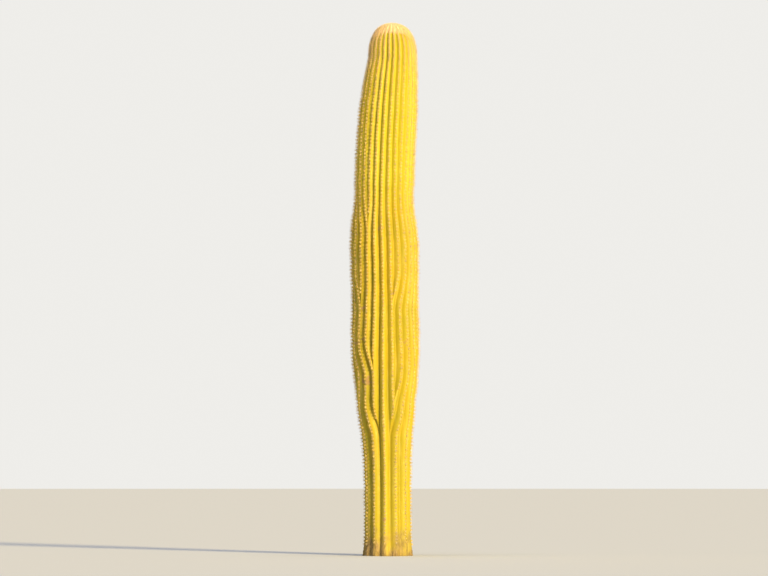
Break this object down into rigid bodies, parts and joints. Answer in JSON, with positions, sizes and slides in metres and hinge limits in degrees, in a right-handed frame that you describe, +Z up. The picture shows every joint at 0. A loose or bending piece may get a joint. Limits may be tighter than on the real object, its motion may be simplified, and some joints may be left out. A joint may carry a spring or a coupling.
{
  "type": "saguaro cactus",
  "caption": "Tall armless columnar desert cactus: a ribbed green stem with forking ribs, a row of pale spines along every rib and a felted, rounded growing tip.",
  "frame": {"origin": "middle of the flat cut under the stem, at ground level", "axes": "+Z up along the stem, +X to the picture's right, -Y towards the picture's viewer"},
  "size_m": [0.5401, 0.5407, 3.896],
  "materials": {
    "stem_skin": "waxy",
    "felt": "felted",
    "spines": "dry"
  },
  "bodies": {
    "root": {"stem": "stem_skin", "crown_felt": "felt", "spine_row_01": "spines", "spine_row_02": "spines", "spine_row_03": "spines", "spine_row_04": "spines", "spine_row_05": "spines", "spine_row_06": "spines", "spine_row_07": "spines", "spine_row_08": "spines", "spine_row_09": "spines", "spine_row_10": "spines", "spine_row_11": "spines", "spine_row_12": "spines", "spine_row_13": "spines", "spine_row_14": "spines", "spine_row_15": "spines", "spine_row_16": "spines", "spine_row_17": "spines", "spine_row_18": "spines", "spine_row_19": "spines", "spine_row_20": "spines", "spine_row_21": "spines", "spine_row_22": "spines", "spine_row_23": "spines", "spine_row_24": "spines", "spine_row_25": "spines", "spine_row_26": "spines", "spine_row_27": "spines", "spine_row_28": "spines"}
  },
  "joints": []
}
